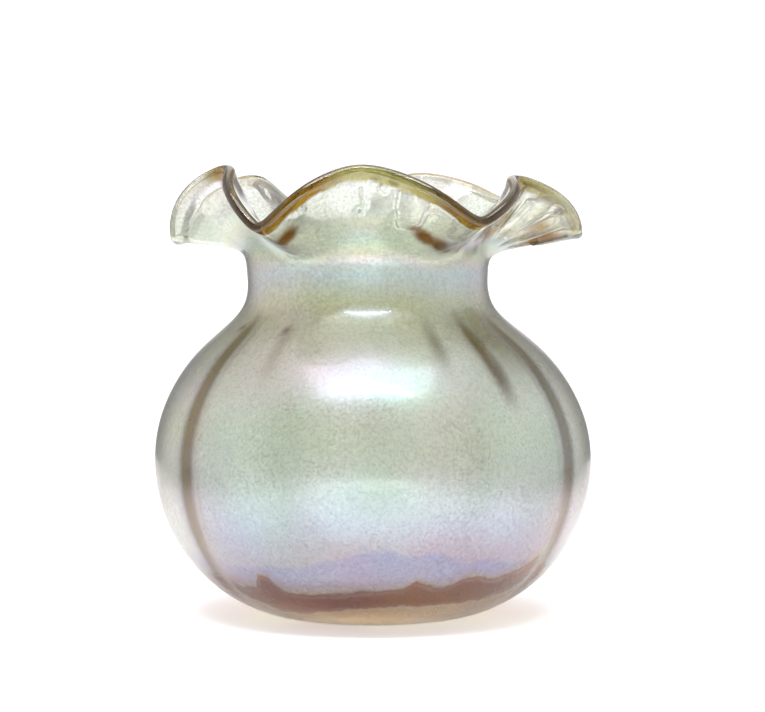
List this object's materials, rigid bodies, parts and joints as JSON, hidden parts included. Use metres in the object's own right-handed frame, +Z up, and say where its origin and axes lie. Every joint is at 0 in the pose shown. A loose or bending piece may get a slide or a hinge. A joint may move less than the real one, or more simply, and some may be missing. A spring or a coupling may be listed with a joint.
{
  "type": "ruffled glass vase",
  "caption": "Squat hand-blown glass vase with a ribbed bulb, short neck and flared, crimped lip with an amber edge; pearly iridescent clear glass on a rosy foot pad.",
  "frame": {"origin": "middle of the foot, on the surface the vase stands on", "axes": "+Z up along the vase, -Y to the front crest of the lip, +X to the right seen from the front"},
  "size_m": [0.1121, 0.1124, 0.1155],
  "materials": {
    "pearl_glass": "clear, faintly olive glass with a pearly iridescent skin",
    "amber_glass": "amber-olive glass, fire-polished",
    "rose_glass": "rosy amber glass, fire-polished, with a ground dish underneath"
  },
  "bodies": {
    "root": {"blown_wall": "pearl_glass", "lip_bead": "amber_glass", "foot_pad": "rose_glass"}
  },
  "joints": []
}
